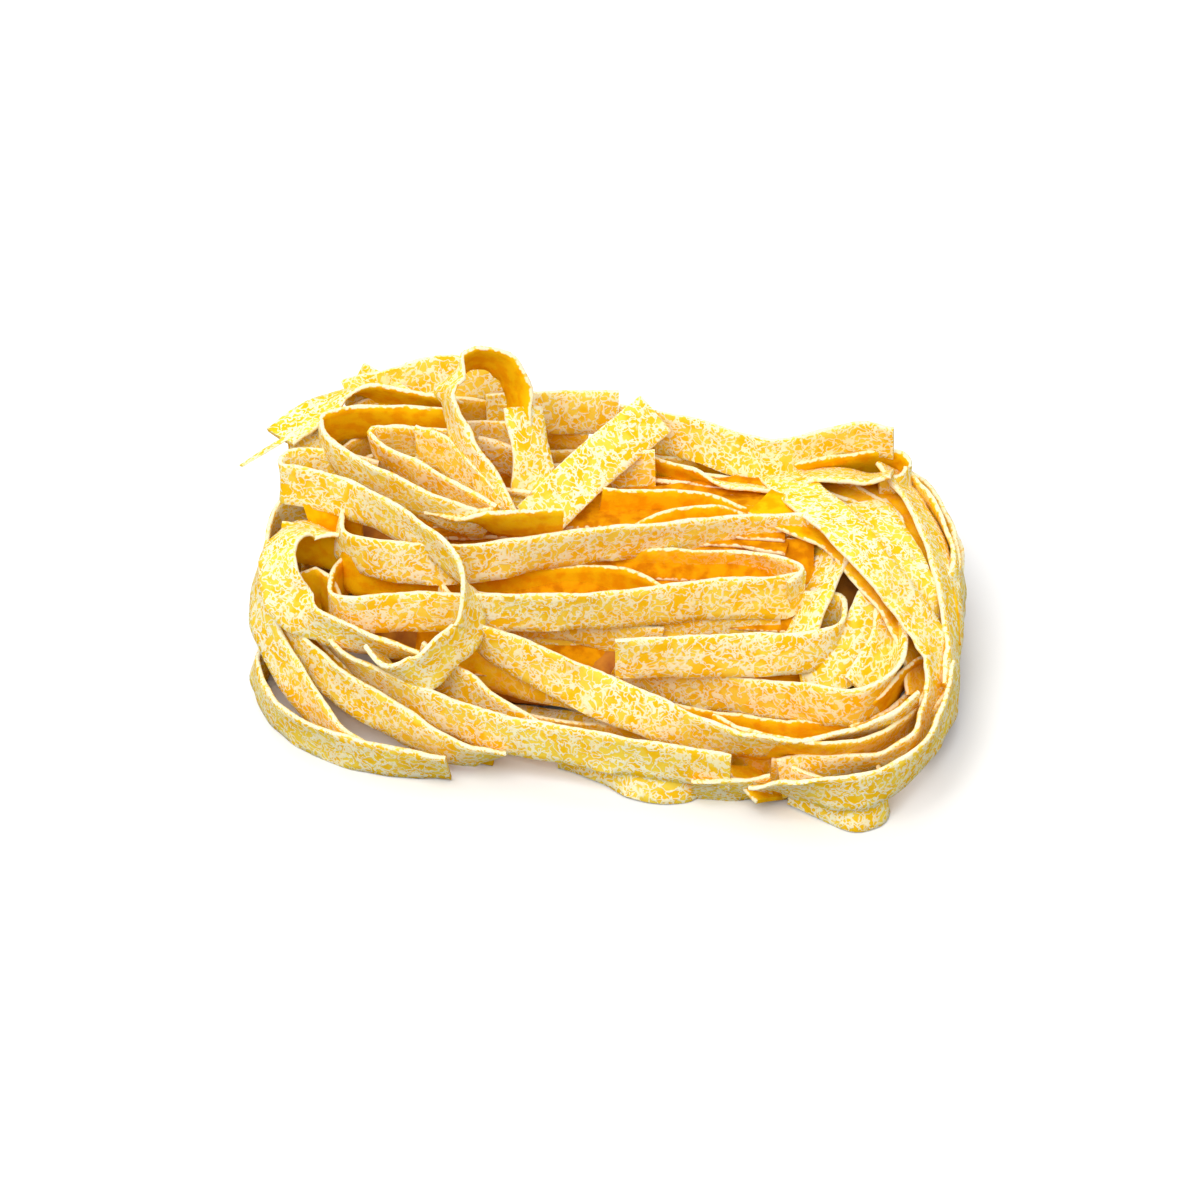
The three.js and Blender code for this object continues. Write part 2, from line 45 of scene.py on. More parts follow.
# The ribbons' routes are in millimetres from the middle of the winding, which lies here.
WINDING_CENTRE = np.array([-0.792, -2.187, 0.0])
HEIGHT_IN_VIEW = 17.0
VIEW_POINT = (WINDING_CENTRE + np.array([0.0, 0.0, HEIGHT_IN_VIEW])) * MM
VIEW_ANGLE = math.radians(38.0)
VIEW_DISTANCE = 0.5333
# Name, place, width and power of each lamp, and the height that they are turned to.
LAMPS = (("lamp_key", (-0.18, -0.42, 0.69), 0.55, 4.9),
         ("lamp_back", (-0.12, 0.46, 0.62), 0.45, 1.0))
LAMP_AIM_HEIGHT = 0.015
LIGHT_ALL_ROUND = 0.73
TABLE_SIZE = 6.0
TABLE_WHITE = (0.92, 0.92, 0.92, 1.0)
TABLE_GLOW = (0.30, 0.30, 0.30, 1.0)

bpy.ops.object.select_all(action="DESELECT")
camera_place = (VIEW_POINT[0], VIEW_POINT[1] - VIEW_DISTANCE * math.cos(VIEW_ANGLE),
                VIEW_POINT[2] + VIEW_DISTANCE * math.sin(VIEW_ANGLE))
bpy.ops.object.camera_add(location=camera_place,
                          rotation=(math.radians(90.0) - VIEW_ANGLE, 0.0, 0.0))
camera = bpy.context.object
camera.data.lens = 120.0
camera.data.sensor_width = 36.0
camera.data.clip_start = 0.01
bpy.context.scene.camera = camera

for name, place, width, power in LAMPS:
    aim = np.array(place) - np.array([0.0, 0.0, LAMP_AIM_HEIGHT])
    turn = (math.atan2(math.hypot(aim[0], aim[1]), aim[2]), 0.0,
            math.atan2(aim[1], aim[0]) + math.radians(90.0))
    bpy.ops.object.light_add(type="AREA", location=place, rotation=turn)
    lamp = bpy.context.object
    lamp.name = name
    lamp.data.size = width
    lamp.data.energy = power

world = bpy.data.worlds.new("studio")
world.use_nodes = True
background = world.node_tree.nodes["Background"]
background.inputs["Color"].default_value = (1.0, 1.0, 1.0, 1.0)
background.inputs["Strength"].default_value = LIGHT_ALL_ROUND
bpy.context.scene.world = world
bpy.context.scene.view_settings.view_transform = "Standard"


def new_material(name):
    """A material, its node tree, and the stock shader in it."""
    material = bpy.data.materials.new(name)
    material.use_nodes = True
    return material, material.node_tree, material.node_tree.nodes["Principled BSDF"]


def feed(tree, target, inputs):
    """Sets a node's inputs, or links them to the outputs that they take their values from."""
    for socket, value in inputs.items():
        if isinstance(value, bpy.types.NodeSocket):
            tree.links.new(value, target.inputs[socket])
        else:
            target.inputs[socket].default_value = value


def node(tree, kind, inputs=None, **settings):
    """A new node in a tree, with its settings and inputs."""
    made = tree.nodes.new(kind)
    for setting, value in settings.items():
        setattr(made, setting, value)
    feed(tree, made, inputs or {})
    return made


bpy.ops.mesh.primitive_plane_add(size=TABLE_SIZE, location=(0.0, 0.0, 0.0))
table = bpy.context.object
table.name = "table"
table_paint, tree, shader = new_material("matt_white_table")
feed(tree, shader, {"Base Color": TABLE_WHITE, "Roughness": 0.9, "Specular IOR Level": 0.1})
# What the table throws back at the nest is weaker, as on a top with its far parts unlit.
dim_table = node(tree, "ShaderNodeBsdfDiffuse", {"Color": TABLE_GLOW}).outputs[0]
seen_directly = node(tree, "ShaderNodeLightPath").outputs["Is Camera Ray"]
either = node(tree, "ShaderNodeMixShader", {0: seen_directly, 1: dim_table, 2: shader.outputs[0]})
feed(tree, tree.nodes["Material Output"], {"Surface": either.outputs[0]})
table.data.materials.append(table_paint)

# ---------------------------------------------------------------- packed middle of the nest
# The middle of a nest is ribbon pressed on ribbon with hardly any air left. It is a closed
# mound of egg dough under the ribbons that show, a little lower and narrower than they lie,
# painted dark as painted shade for the deep gaps between them.
CORE_TURN = math.radians(-6.0)
CORE_SIDES = 72
CORE_GRID = 0.0011
LUMP_WIDTH = 0.006
LUMP_HEIGHT = 0.0016
# Painted shade: both tones of the mound are a dark amber-brown that stands in for the deep shade in
# the gaps between the ribbons.
PAINTED_DEEP_SHADE_DOUGH = (0.40, 0.115, 0.006, 1.0)
PAINTED_SHADE_DOUGH = (0.68, 0.270, 0.010, 1.0)
# Height, place of the middle, half length and half depth of the mound, from the tray upwards.
CORE_LEVELS = ((1.6, 2, 8, 32, 13.5), (7, 3, 9, 36.5, 16), (14, 3, 11, 36.5, 13),
               (18.5, 2, 13.5, 34.5, 9.5), (21.3, 0, 14.5, 26, 6))
# How square the oblong is: 2 gives an ellipse.
RACETRACK_POWER = 2.7


def racetrack(angle, half_length, half_depth):
    """Points at the given angles on the rounded oblong that the winding follows."""
    cosine, sine = np.cos(angle), np.sin(angle)
    power = 2.0 / RACETRACK_POWER
    return (half_length * np.sign(cosine) * np.abs(cosine) ** power,
            half_depth * np.sign(sine) * np.abs(sine) ** power)


angle = np.linspace(0.0, 2.0 * math.pi, CORE_SIDES, endpoint=False)
core_points, core_faces = [], []
for z, x, y, half_length, half_depth in CORE_LEVELS:
    dx, dy = racetrack(angle, half_length, half_depth)
    core_points.append(np.stack([x + dx * math.cos(CORE_TURN) - dy * math.sin(CORE_TURN),
                                 y + dx * math.sin(CORE_TURN) + dy * math.cos(CORE_TURN),
                                 np.full(CORE_SIDES, float(z))], axis=1))
top_ring = (len(CORE_LEVELS) - 1) * CORE_SIDES
for ring in range(0, top_ring, CORE_SIDES):
    for side in range(CORE_SIDES):
        here, beside = ring + side, ring + (side + 1) % CORE_SIDES
        core_faces.append((here, beside, beside + CORE_SIDES, here + CORE_SIDES))
core_faces.append(tuple(reversed(range(CORE_SIDES))))
core_faces.append(tuple(range(top_ring, top_ring + CORE_SIDES)))
core_points = (np.concatenate(core_points) + WINDING_CENTRE) * MM
core_mesh = bpy.data.meshes.new("pasta_core")
core_mesh.from_pydata(core_points.tolist(), [], core_faces)
core = bpy.data.objects.new("pasta_core", core_mesh)
bpy.context.collection.objects.link(core)
bpy.ops.object.select_all(action="DESELECT")
core.select_set(True)
bpy.context.view_layer.objects.active = core
lumps = bpy.data.textures.new("pressed_ribbons", "CLOUDS")
lumps.noise_scale = LUMP_WIDTH
for kind, settings in (("REMESH", dict(mode="VOXEL", voxel_size=CORE_GRID)),
                       ("SMOOTH", dict(iterations=4)),
                       ("DISPLACE", dict(texture=lumps, strength=LUMP_HEIGHT, mid_level=0.5))):
    modifier = core.modifiers.new(kind.lower(), kind)
    for setting, value in settings.items():
        setattr(modifier, setting, value)
    bpy.ops.object.modifier_apply(modifier=modifier.name)
bpy.ops.object.shade_smooth()

core_dough_painted_shade, tree, shader = new_material("egg_dough_painted_shade")
in_dough = node(tree, "ShaderNodeTexCoord").outputs["Object"]
grain = node(tree, "ShaderNodeTexNoise", {"Vector": in_dough, "Scale": 420.0, "Detail": 5.0})
grain = grain.outputs["Fac"]
tone = node(tree, "ShaderNodeValToRGB", {"Fac": grain})
dark, light = tone.color_ramp.elements
dark.position = 0.35
dark.color = PAINTED_DEEP_SHADE_DOUGH
light.position = 0.70
light.color = PAINTED_SHADE_DOUGH
bump = node(tree, "ShaderNodeBump", {"Strength": 0.5, "Distance": 0.0003, "Height": grain})
feed(tree, shader, {"Base Color": tone.outputs["Color"], "Normal": bump.outputs["Normal"],
                    "Roughness": 0.8})
core.data.materials.append(core_dough_painted_shade)
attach(core, "root")
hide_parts("pasta_nest")

# ---------------------------------------------------------------- ribbons round the back
# Egg dough rolled thin, cut into flat ribbons and wound while soft. Loops stand on edge one
# above the other round the back; each is a strip of constant width swept along its route.
RIBBON_WIDTH = 6.5
RIBBON_THICKNESS = 0.7
FRAY_WIDTH = 1.3
UPRIGHT = (0.0, 0.0, 1.0)
BACKWARD = (0.0, 1.0, 0.0)
STEP = 0.7
# How far, and over which length along the ribbon, it cups over its width, ripples from edge to
# edge, is nibbled and crumbled along its lower and upper cut edge, and swells in thickness.
CUP, CUP_LENGTH = 0.30, 31.0
RIPPLE, RIPPLE_LENGTH = 0.16, 8.0
NIBBLE, LOW_NIBBLE_LENGTH, HIGH_NIBBLE_LENGTH = 0.035, 2.3, 2.1
CRUMBLE, LOW_CRUMBLE_LENGTH, HIGH_CRUMBLE_LENGTH = 0.03, 1.1, 1.2
SWELL, SWELL_LENGTH = 0.10, 11.0
CUP_ZERO = 0.33
NARROW_THINNING = 1.6
SURFACE_SHIFT = 131.0
CREASE_ANGLE = math.radians(50.0)
CUT_EDGE = 0.9
# Places across the ribbon, from one cut edge to the other, and the share of its thickness there.
ACROSS = np.array([-1.0, -0.95, -0.66, -0.33, 0.0, 0.33, 0.66, 0.95, 1.0])
PROFILE = np.array([0.42, 0.94, 1.0, 1.0, 1.0, 1.0, 1.0, 0.94, 0.42])


def draw(seed):
    """A repeatable draw between 0 and 1."""
    return (math.sin(seed * 12.9898) * 43758.5453) % 1.0


def spread(seed, width):
    """A repeatable draw within half the width to either side of nothing."""
    return width * (draw(seed) - 0.5)


def soft_step(share):
    """From 0 to 1 with a gentle start and end."""
    return share * share * (3.0 - 2.0 * share)


def waver(length, period, seed):
    """A gentle irregular wave along a ribbon, between about -1 and 1."""
    total = np.zeros_like(length)
    for part, share in ((1.0, 0.55), (0.61, 0.30), (1.73, 0.30)):
        phase = 2.0 * math.pi * draw(seed + 7.3 * part)
        total += share * np.sin(2.0 * math.pi * length / (period * part) + phase)
    return total


def centre_line(route):
    """Smooth line through a route's points, about STEP apart, and where each point lies in it.
    The roots of the gaps between the points set how fast it passes them, so it never kinks."""
    points = np.array([key[:3] for key in route], float)
    before = np.vstack([2 * points[0] - points[1], points[:-1]])
    after = np.vstack([points[1:], 2 * points[-1] - points[-2]])
    line, place = [], []
    for i in range(len(points) - 1):
        p0, p1, p2, p3 = before[i], points[i], points[i + 1], after[i + 1]
        d0, d1, d2 = (np.sum((b - a) ** 2) ** 0.25 for a, b in ((p0, p1), (p1, p2), (p2, p3)))
        t1 = ((p1 - p0) / d0 - (p2 - p0) / (d0 + d1) + (p2 - p1) / d1) * d1
        t2 = ((p2 - p1) / d1 - (p3 - p1) / (d1 + d2) + (p3 - p2) / d2) * d1
        steps = max(2, round(np.linalg.norm(p2 - p1) / STEP))
        last = i == len(points) - 2
        s = np.linspace(0.0, 1.0, steps + 1)[:None if last else -1, None]
        line.append(p1 + t1 * s + (3 * (p2 - p1) - 2 * t1 - t2) * s ** 2
                    + (t1 + t2 - 2 * (p2 - p1)) * s ** 3)
        place.append(i + s[:, 0])
    return np.concatenate(line), np.concatenate(place)


def directions(line, place, route, up):
    """Length along a ribbon, and the ways across its width and through its thickness."""
    along = np.gradient(line, axis=0)
    reach = np.linalg.norm(along, axis=1)
    along /= reach[:, None]
    lean = np.array([key[3] for key in route], float)
    key = np.minimum(place.astype(int), len(route) - 2)
    share = soft_step(place - key)
    lean = np.radians(lean[key] * (1.0 - share) + lean[key + 1] * share)
    rise = np.array(up) - (along @ np.array(up))[:, None] * along
    rise /= np.linalg.norm(rise, axis=1)[:, None]
    aside = np.cross(along, rise)
    across = np.cos(lean)[:, None] * rise + np.sin(lean)[:, None] * aside
    return np.cumsum(reach), across, np.cross(along, across)


def strip_faces(rings):
    """Faces of a closed strip: walls from ring to ring of points, and its two cut ends."""
    columns = len(ACROSS)
    around = 2 * columns
    ring = np.arange(rings - 1)[:, None] * around
    corner = np.arange(around)
    beside = (corner + 1) % around
    walls = np.stack([ring + beside, ring + corner, ring + corner + around, ring + beside + around],
                     axis=-1).reshape(-1, 4)
    column = np.arange(columns - 1)
    start_cap = np.stack([column, column + 1, around - 2 - column, around - 1 - column], axis=-1)
    end_cap = start_cap[:, ::-1] + (rings - 1) * around
    return np.concatenate([walls, start_cap, end_cap])


def ribbon(seed, route, flour, flour_end=None, up=UPRIGHT, width=RIBBON_WIDTH):
    """Points, faces, surface coordinates and flour of one ribbon. A key of the route is
    (x, y, z, lean): lean is how far the upper edge leans to the right of travel, in degrees.
    flour is how mottled the right face and the left face are, where it starts; flour_end is
    the same for its far end."""
    line, place = centre_line(route)
    length, across, through = directions(line, place, route, up)
    cup = CUP * waver(length, CUP_LENGTH, seed + 0.1)
    ripple = RIPPLE * waver(length, RIPPLE_LENGTH, seed + 0.2)
    low_edge = (NIBBLE * waver(length, LOW_NIBBLE_LENGTH, seed + 0.3)
                + CRUMBLE * waver(length, LOW_CRUMBLE_LENGTH, seed + 0.5))
    high_edge = (NIBBLE * waver(length, HIGH_NIBBLE_LENGTH, seed + 0.4)
                 + CRUMBLE * waver(length, HIGH_CRUMBLE_LENGTH, seed + 0.6))
    thick = 0.5 * RIBBON_THICKNESS * (1.0 + SWELL * waver(length, SWELL_LENGTH, seed + 0.7))
    thinning = min(1.0, NARROW_THINNING * width / RIBBON_WIDTH)
    bend = cup[:, None] * (ACROSS ** 2 - CUP_ZERO) + ripple[:, None] * ACROSS ** 3
    bend = bend * width / RIBBON_WIDTH
    nibbled = np.where(ACROSS > CUT_EDGE, high_edge[:, None],
                       np.where(ACROSS < -CUT_EDGE, low_edge[:, None], 0.0))
    side = 0.5 * width * ACROSS[None, :] + nibbled
    sides = []
    for sign in (1.0, -1.0):
        offset = bend + sign * thick[:, None] * PROFILE * thinning
        sides.append(line[:, None] + side[..., None] * across[:, None]
                     + offset[..., None] * through[:, None])
    points = np.concatenate([sides[0], sides[1][:, ::-1]], axis=1).reshape(-1, 3)

    surface = np.stack([np.repeat(length, 2 * len(ACROSS)) + SURFACE_SHIFT * seed,
                        np.tile(np.concatenate([ACROSS, ACROSS[::-1]]), len(line))], axis=1)
    share = soft_step((length / length[-1])[:, None])
    dusting = np.array(flour) * (1.0 - share) + np.array(flour_end or flour) * share
    dusting = np.repeat(dusting, len(ACROSS), axis=1).ravel()
    return points, strip_faces(len(line)), surface, dusting


def lay_ribbons(name, first_seed, ribbons):
    """One piece of joined ribbons, each swept along its own route."""
    strips = [ribbon(first_seed + number, **settings) for number, settings in enumerate(ribbons)]
    points, faces, surface, dusting = zip(*strips)
    first_point = np.cumsum([0] + [len(strip) for strip in points])
    faces = np.concatenate([corners + first for corners, first in zip(faces, first_point)])
    points = (np.concatenate(points) + WINDING_CENTRE) * MM
    points[:, 2] = np.maximum(points[:, 2], 0.0)
    surface = np.concatenate(surface)
    mesh = bpy.data.meshes.new(name)
    mesh.from_pydata(points.tolist(), [], faces.tolist())
    mesh.uv_layers.new(name="ribbon")
    mesh.uv_layers["ribbon"].data.foreach_set("uv", surface[faces.reshape(-1)].astype("f").ravel())
    flour = mesh.attributes.new("flour", "FLOAT", "POINT")
    flour.data.foreach_set("value", np.concatenate(dusting).astype("f"))
    piece = bpy.data.objects.new(name, mesh)
    bpy.context.collection.objects.link(piece)
    bpy.ops.object.select_all(action="DESELECT")
    piece.select_set(True)
    bpy.context.view_layer.objects.active = piece
    bpy.ops.object.shade_smooth_by_angle(angle=CREASE_ANGLE)
    piece.data.materials.append(dried_pasta)
    return piece


# Egg yolk colours the dough, deeper where it was rolled smooth, and flour lies on it in cream.
YOLK = (0.94, 0.53, 0.004, 1.0)
DEEP_YOLK = (0.87, 0.38, 0.002, 1.0)
GOLD = (0.96, 0.55, 0.010, 1.0)
PALE_GOLD = (0.97, 0.69, 0.070, 1.0)
CREAM = (0.99, 0.94, 0.68, 1.0)
# Sockets of a Mix node when it mixes colours.
MIX_AMOUNT, MIX_FIRST, MIX_SECOND, MIX_RESULT = 0, 6, 7, 2
# The pattern of dried dough: a rough side dusted with flour, and a smooth one in two tones.
floured_dough = bpy.data.node_groups.new("floured_dough", "ShaderNodeTree")
for side, socket, kind in (("INPUT", "Deep tone", "NodeSocketColor"),
                           ("INPUT", "Light tone", "NodeSocketColor"),
                           ("OUTPUT", "Colour", "NodeSocketColor"),
                           ("OUTPUT", "Height", "NodeSocketFloat"),
                           ("OUTPUT", "Roughness", "NodeSocketFloat")):
    floured_dough.interface.new_socket(socket, in_out=side, socket_type=kind)


def ramp(value, low, high, bottom=0.0, top=1.0):
    """The value's soft step from low to high."""
    inputs = {"Value": value, "From Min": low, "From Max": high, "To Min": bottom, "To Max": top}
    made = node(floured_dough, "ShaderNodeMapRange", inputs, interpolation_type="SMOOTHSTEP")
    return made.outputs["Result"]


def sums(operation, *values):
    """The result of a Math node."""
    inputs = dict(enumerate(values))
    return node(floured_dough, "ShaderNodeMath", inputs, operation=operation).outputs[0]


def blend(amount, first, second):
    """Colour between two colours."""
    inputs = {MIX_AMOUNT: amount, MIX_FIRST: first, MIX_SECOND: second}
    return node(floured_dough, "ShaderNodeMix", inputs, data_type="RGBA").outputs[MIX_RESULT]


def noise(scale, detail=1.0, distortion=0.0):
    """Noise in the solid of the dough."""
    inputs = {"Vector": in_dough, "Scale": scale, "Detail": detail, "Distortion": distortion}
    return node(floured_dough, "ShaderNodeTexNoise", inputs).outputs["Fac"]


def strokes(scale, thin, thick):
    """Short branching strokes: where noise of this scale passes through its middle value."""
    from_middle = sums("ABSOLUTE", sums("SUBTRACT", noise(scale, 2.0, 0.4), 0.5))
    return ramp(from_middle, thin, thick, 1.0, 0.0)


tones = node(floured_dough, "NodeGroupInput").outputs
in_dough = node(floured_dough, "ShaderNodeTexCoord").outputs["Object"]
on_ribbon = node(floured_dough, "ShaderNodeUVMap", uv_map="ribbon").outputs["UV"]
from_middle = node(floured_dough, "ShaderNodeSeparateXYZ", {"Vector": on_ribbon}).outputs["Y"]
across_ribbon = sums("ABSOLUTE", from_middle)
flour = node(floured_dough, "ShaderNodeAttribute", attribute_name="flour").outputs["Fac"]
# Fine strokes of flour with wider ones between them, stronger in patches a few millimetres wide,
# over soft blotches in the dough.
patches = noise(130.0, 2.0)
blotches = ramp(noise(420.0, 1.0), 0.38, 0.62)
dusting = ramp(flour, 0.06, 0.75)
mottle = strokes(820.0, 0.027, 0.050)
mottle = sums("MAXIMUM", mottle, sums("MULTIPLY", strokes(430.0, 0.006, 0.034), 0.92))
mottle = sums("MULTIPLY", mottle, sums("MULTIPLY", dusting, ramp(patches, 0.25, 0.60, 0.75, 1.0)))
# The cut edges are painted paler, along an uneven line: painted highlight where light catches them.
edge = ramp(sums("ADD", across_ribbon, ramp(noise(1400.0), 0.3, 0.7, -0.035, 0.035)), 0.95, 0.995)
smooth_side = ramp(noise(520.0, 4.0), 0.36, 0.60)
smooth_side = blend(smooth_side, tones["Deep tone"], tones["Light tone"])
rough_side = blend(blotches, GOLD, PALE_GOLD)
body = blend(dusting, smooth_side, rough_side)
colour = blend(sums("MULTIPLY", mottle, 0.92), body, CREAM)
# Painted highlight: cream along both cut edges.
colour = blend(sums("MULTIPLY", edge, 0.80), colour, CREAM)
# The strokes stand up a little from a finely pitted surface, and are more matt.
height = sums("ADD", sums("MULTIPLY", mottle, 0.6), sums("MULTIPLY", noise(2600.0, 2.0), 0.5))
roughness = ramp(mottle, 0.0, 1.0, 0.62, 0.86)
node(floured_dough, "NodeGroupOutput", {"Colour": colour, "Height": height, "Roughness": roughness})


def egg_pasta(name, deep_tone, light_tone):
    """Dried egg pasta whose smooth side has these two tones."""
    material, tree, shader = new_material(name)
    dough = node(tree, "ShaderNodeGroup", {"Deep tone": deep_tone, "Light tone": light_tone},
                 node_tree=floured_dough).outputs
    bump = node(tree, "ShaderNodeBump", {"Strength": 0.6, "Distance": 0.00012,
                                         "Height": dough["Height"]})
    feed(tree, shader, {"Base Color": dough["Colour"], "Roughness": dough["Roughness"],
                        "Normal": bump.outputs["Normal"], "Specular IOR Level": 0.0,
                        "Subsurface Weight": 0.12, "Subsurface Radius": (1.0, 0.5, 0.1),
                        "Subsurface Scale": 0.0008})
    return material


dried_pasta = egg_pasta("dried_egg_pasta", DEEP_YOLK, YOLK)

# Loops standing on edge, each level a little smaller than the one below, in two layers.
NEST_HALF_LENGTH = 46.0
NEST_HALF_DEPTH = 23.5
NEST_BACK_SHIFT = 5.5
BACK_LEVELS = 5
BACK_LAYERS = 2
LOOP_RISE = 5.2
LAYER_GAP = 3.0
LEVEL_INSET = 0.35
LEVEL_LEAN = -4.0
# Where round the nest the loops start and end, in degrees; the top one is on the left alone.
LOOP_START, TOP_LOOP_START = -15.0, 100.0
LOOP_END, END_STEP = 185.0, 9.0
LOOP_SPREAD = 18.0
LOOP_KEYS = 7
SEED_STEP = 31
ON_EDGE = RIBBON_WIDTH / 2
back_loops = []
for level in range(BACK_LEVELS):
    seed = 1 + SEED_STEP * level
    inset = LEVEL_INSET * level ** 2
    start = TOP_LOOP_START if level == BACK_LEVELS - 1 else LOOP_START
    start += LOOP_SPREAD * draw(seed)
    end = LOOP_END - END_STEP * level - LOOP_SPREAD * draw(seed + 1)
    for layer in range(BACK_LAYERS):
        keys = []
        for key in range(LOOP_KEYS):
            share = key / (LOOP_KEYS - 1)
            turn = np.radians(start + (end - start) * share)
            x, y = racetrack(turn, NEST_HALF_LENGTH - inset - LAYER_GAP * layer,
                             NEST_HALF_DEPTH - inset - LAYER_GAP * layer)
            slope = spread(seed + 2, 4.0) * (share - 0.5)
            y = y + NEST_BACK_SHIFT + spread(seed + 11 + key, 1.0)
            z = ON_EDGE + LOOP_RISE * level + slope + spread(seed + 3 + key, 1.0)
            keys.append((x, y, max(z, ON_EDGE), LEVEL_LEAN * level + spread(seed + 19 + key, 16.0)))
        back_loops.append(dict(route=keys, flour=(1.0, 0.3)))
back_loops += [
    dict(route=[(-2, 27, 22, -10), (-14, 28.5, 24, -10), (-28, 27.5, 25, -15),
        (-36, 23.5, 25.5, -15), (-40, 18.5, 25, -15)], flour=(1, 0.3)),
    dict(route=[(-8, 26, 27, -10), (-22, 27, 28.5, -10), (-32, 25.5, 29, -15),
        (-38, 20, 28.5, -20)], flour=(1, 0.3)),
    dict(route=[(-12, 22.5, 26, -5), (-22, 23.5, 26.5, -5), (-30, 23, 26, -5), (-36, 18, 25, 0)],
        flour=(1, 0.3)),
]
back_wall = lay_ribbons("ribbons_back", 1, back_loops)
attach(back_wall, "root")
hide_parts("pasta_nest")

# ---------------------------------------------------------------- ribbons under the nest
# The first turns laid on the drying tray, pressed nearly flat by those above, and the runs on
# edge that stand a little back under the front and the right end.
UNDER_ROWS = 5
UNDER_KEYS = 5
UNDER_LEFT, UNDER_RIGHT, UNDER_FRONT = -24.0, 33.0, -6.0
ROW_GAP = 8.0
ROW_SLANT = 8.0
LOWEST_ROW = 1.2
FLAT = 90.0
under_runs = []
for row in range(UNDER_ROWS):
    seed = 400 + SEED_STEP * row
    start = UNDER_LEFT - 4.0 * draw(seed)
    end = UNDER_RIGHT + 4.0 * draw(seed + 1)
    keys = []
    for key in range(UNDER_KEYS):
        share = key / (UNDER_KEYS - 1)
        x = start + (end - start) * share
        y = UNDER_FRONT + ROW_GAP * row - ROW_SLANT * share + spread(seed + 2 + key, 5.0)
        z = LOWEST_ROW + 1.4 * draw(seed + 9 + key)
        keys.append((x, y, z, FLAT + spread(seed + 16 + key, 16.0)))
    under_runs.append(dict(route=keys, flour=(0.7, 0.7)))
under_runs += [
    dict(route=[(-24, -7, 3.25, 0), (-8, -11.5, 3.25, 0), (8, -14.5, 3.25, 0),
        (24, -16.5, 3.25, 0), (34, -15.5, 3.25, 0), (40, -9, 3.25, 0)], flour=(0.3, 0.3)),
    dict(route=[(43.5, 15, 6.5, 0), (44, 4, 6.5, 0), (43, -4.5, 6, 0), (39.5, -11.5, 5.5, 0),
        (33, -15.5, 5, 0)], flour=(0.3, 0.3)),
]
under = lay_ribbons("ribbons_under", 21, under_runs)
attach(under, "root")
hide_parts("pasta_nest")

# ---------------------------------------------------------------- ribbons inside the nest
# Turns deep in the nest, pressed flat on its packed middle, side by side along its slope, and
# three that cross over them. They have almost no flour and a darker amber than the outer
# ribbons: painted shade for the depth of the nest.
INNER_LEFT, INNER_RIGHT = -30.0, 31.0
INNER_KEYS = 6
INNER_SLANT = 0.105
# Place across the nest, height and lean of each turn.
INNER_ROWS = ((-4.7, 10.6, -36), (1.0, 16.4, -53), (6.2, 20.0, -58), (10.5, 21.5, -86),
              (15.5, 21.7, -90), (19.5, 21.4, -97), (22.2, 20.1, -135))
CROSSING_RUNS = 3
CROSSING_KEYS = 5
CROSSING_HEIGHT = 22.0
CROSSING_LEAN = -88.0
PAINTED_SHADE_DEEP_AMBER = (0.60, 0.20, 0.002, 1.0)
PAINTED_SHADE_AMBER = (0.84, 0.36, 0.003, 1.0)
inner_runs = []
for row, (middle_y, height, lean) in enumerate(INNER_ROWS):
    seed = 700 + SEED_STEP * row
    start = INNER_LEFT + 6.0 * draw(seed)
    end = INNER_RIGHT - 6.0 * draw(seed + 1)
    keys = []
    for key in range(INNER_KEYS):
        x = start + (end - start) * key / (INNER_KEYS - 1)
        y = middle_y - INNER_SLANT * x + spread(seed + 2 + key, 2.2)
        z = height + 0.4 * draw(seed + 9 + key)
        keys.append((x, y, z, lean + spread(seed + 16 + key, 16.0)))
    inner_runs.append(dict(route=keys, flour=(0.02, 0.02)))
for run in range(CROSSING_RUNS):
    seed = 960 + SEED_STEP * run
    keys = []
    for key in range(CROSSING_KEYS):
        share = key / (CROSSING_KEYS - 1)
        x = -25.0 + 50.0 * share
        y = 9.0 + 3.0 * run + (10.0 - 8.0 * run) * share + spread(seed + key, 2.0)
        z = CROSSING_HEIGHT + 0.3 * run
        keys.append((x, y, z, CROSSING_LEAN + spread(seed + 7 + key, 14.0)))
    inner_runs.append(dict(route=keys, flour=(0.08, 0.08)))
inside = lay_ribbons("ribbons_inside", 25, inner_runs)
# The inside ribbons take a darker copy of the pasta: painted shade.
inside.data.materials[0] = egg_pasta("dried_egg_pasta_inside_painted_shade", PAINTED_SHADE_DEEP_AMBER, PAINTED_SHADE_AMBER)
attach(inside, "root")
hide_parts("pasta_nest")

